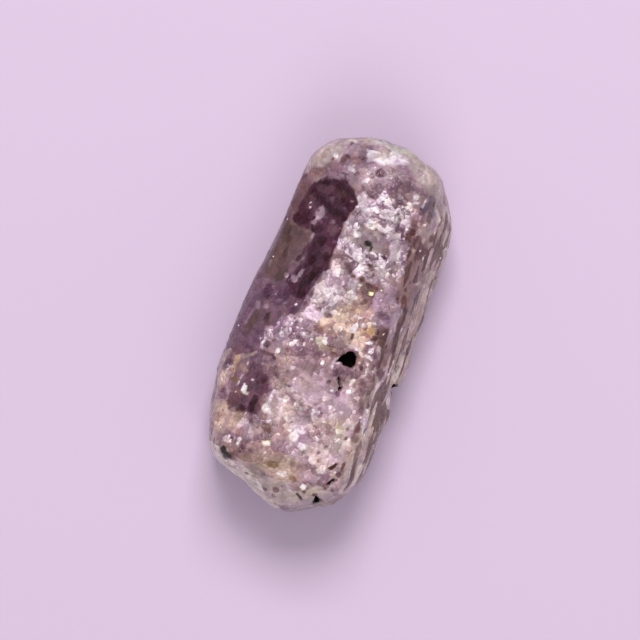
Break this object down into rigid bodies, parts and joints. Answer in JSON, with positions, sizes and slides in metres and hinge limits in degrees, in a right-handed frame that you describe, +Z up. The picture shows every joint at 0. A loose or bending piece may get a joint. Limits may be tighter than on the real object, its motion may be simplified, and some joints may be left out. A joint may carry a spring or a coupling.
{
  "type": "scapolite crystal",
  "caption": "Rough purple scapolite crystal: a worn, stubby prism with sugary pale grains, a dark window on one face and small pits. It lies loose on a long face.",
  "frame": {"origin": "under the middle of the crystal's box, on the surface that it rests on", "axes": "+Y along the crystal's long axis towards its domed end, +X across it to the right as seen from above, +Z up from the flat long face it rests on"},
  "size_m": [0.0156, 0.0332, 0.0126],
  "materials": {
    "scapolite": "glassy and sugary, broken crystal surface"
  },
  "bodies": {
    "root": {"crystal": "scapolite"}
  },
  "joints": []
}
